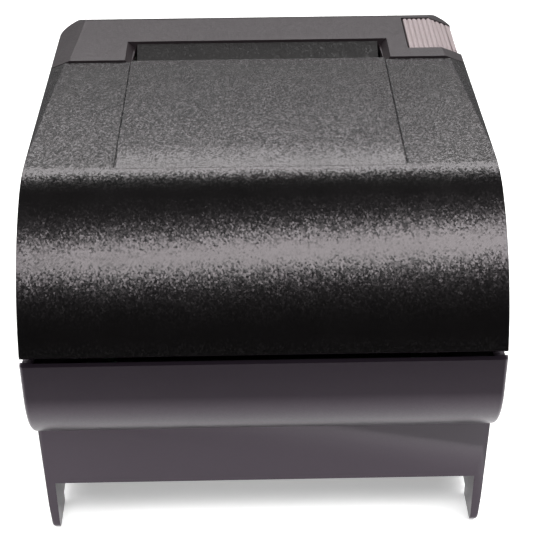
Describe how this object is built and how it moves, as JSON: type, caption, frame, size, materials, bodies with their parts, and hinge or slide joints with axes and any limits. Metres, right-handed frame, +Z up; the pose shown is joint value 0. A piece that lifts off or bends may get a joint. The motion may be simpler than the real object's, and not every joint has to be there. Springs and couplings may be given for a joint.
{
  "type": "receipt printer",
  "caption": "Desktop thermal receipt printer with a hinged roll cover, paper exit slot, ribbed release lever and cable exit under the rear.",
  "frame": {"origin": "centre of the underside, at the height of the feet", "axes": "+Z up, -Y to the front where the user stands, +X to the right seen from the front"},
  "size_m": [0.145, 0.186, 0.124],
  "materials": {
    "black_plastic": "coarse moulded texture",
    "dark_plastic": "satin moulded",
    "grey_plastic": "fine moulded texture",
    "light_plastic": "satin moulded",
    "gear_plastic": "natural acetal",
    "green_lens": "clear moulded",
    "amber_lens": "clear moulded",
    "steel": "zinc plated sheet",
    "aluminium": "extruded",
    "rubber": "ground rubber",
    "board": "solder-masked laminate",
    "ceramic": "glazed ceramic"
  },
  "bodies": {
    "case": {"base_case": "dark_plastic", "bottom_plate": "steel", "foot_front_left": "rubber", "foot_front_right": "rubber", "foot_rear_left": "rubber", "foot_rear_right": "rubber", "plate_screw_left": "steel", "plate_screw_right": "steel", "connector_panel": "steel", "dc_inlet": "black_plastic", "drawer_socket": "black_plastic", "usb_socket": "steel", "lan_socket": "steel", "main_board": "board", "processor_chip": "black_plastic", "power_capacitor": "black_plastic", "buzzer": "black_plastic", "paper_bucket": "black_plastic", "mechanism_frame": "steel", "frame_screw_left": "steel", "frame_screw_right": "steel", "print_head": "ceramic", "head_heatsink": "aluminium", "head_spring_left": "steel", "head_spring_right": "steel", "head_cable": "black_plastic", "feed_motor": "steel", "idler_axle": "steel", "cutter_frame": "steel", "cutter_motor": "steel", "exit_guide": "black_plastic", "front_frame": "grey_plastic", "power_lens": "green_lens", "paper_lens": "amber_lens", "error_lens": "amber_lens", "switch_housing": "black_plastic", "cover_switch": "black_plastic", "hinge_pin_left": "steel", "hinge_pin_right": "steel", "lever_pin": "steel"},
    "cover": {"roll_cover": "black_plastic", "platen_bracket": "steel", "fixed_blade": "steel", "platen_bush_left": "gear_plastic", "platen_bush_right": "gear_plastic", "bracket_screw_left": "steel", "bracket_screw_right": "steel"},
    "platen": {"platen_roller": "rubber", "platen_shaft": "steel", "platen_gear": "gear_plastic"},
    "idler": {"idler_gear": "gear_plastic"},
    "motor_rotor": {"motor_pinion": "gear_plastic"},
    "latch": {"lock_shaft": "steel"},
    "lever": {"release_lever": "light_plastic"},
    "button": {"feed_button": "grey_plastic"},
    "rocker": {"power_rocker": "black_plastic"},
    "cutter_drive": {"cutter_pinion": "gear_plastic"},
    "blade": {"moving_blade": "steel"}
  },
  "joints": [
    {"name": "cover_hinge", "type": "hinge", "parent": "case", "child": "cover", "pos_m": [0, 0.0855, 0.0846], "axis": [-1, 0, 0], "range_deg": [0, 80]},
    {"name": "platen_spin", "type": "hinge", "parent": "cover", "child": "platen", "pos_m": [0, -0.0205, 0.104], "axis": [1, 0, 0], "continuous": true},
    {"name": "idler_spin", "type": "hinge", "parent": "case", "child": "idler", "pos_m": [0.0555, -0.0249, 0.0788], "axis": [1, 0, 0], "continuous": true},
    {"name": "motor_spin", "type": "hinge", "parent": "case", "child": "motor_rotor", "pos_m": [0.0555, -0.0374, 0.0622], "axis": [1, 0, 0], "continuous": true},
    {"name": "lever_press", "type": "hinge", "parent": "case", "child": "lever", "pos_m": [-0.0626, -0.0364, 0.1203], "axis": [1, 0, 0], "range_deg": [0, 10], "stiffness_Nm_per_rad": 0.06, "springref_deg": -10},
    {"name": "lock_turn", "type": "hinge", "parent": "case", "child": "latch", "pos_m": [0, -0.0095, 0.086], "axis": [-1, 0, 0], "range_deg": [0, 10]},
    {"name": "button_press", "type": "slide", "parent": "case", "child": "button", "axis": [0, 0.848, -0.5299], "range_m": [0, 0.001], "stiffness_N_per_m": 400, "springref_m": -0.001},
    {"name": "rocker_tilt", "type": "hinge", "parent": "case", "child": "rocker", "pos_m": [0.0674, -0.06, 0.035], "axis": [0, 0, 1], "range_deg": [-12, 0]},
    {"name": "blade_slide", "type": "slide", "parent": "case", "child": "blade", "axis": [0, 1, 0], "range_m": [0, 0.006]},
    {"name": "cutter_turn", "type": "hinge", "parent": "case", "child": "cutter_drive", "pos_m": [0.0461, -0.048, 0.115], "axis": [0, 0, -1], "range_deg": [0, 72]}
  ],
  "couplings": [
    {"joint": "idler_spin", "follows": "platen_spin", "ratio": -0.6},
    {"joint": "motor_spin", "follows": "platen_spin", "ratio": 2},
    {"joint": "lock_turn", "follows": "lever_press", "ratio": 1},
    {"joint": "cutter_turn", "follows": "blade_slide", "rad_per_m": 208.33}
  ]
}
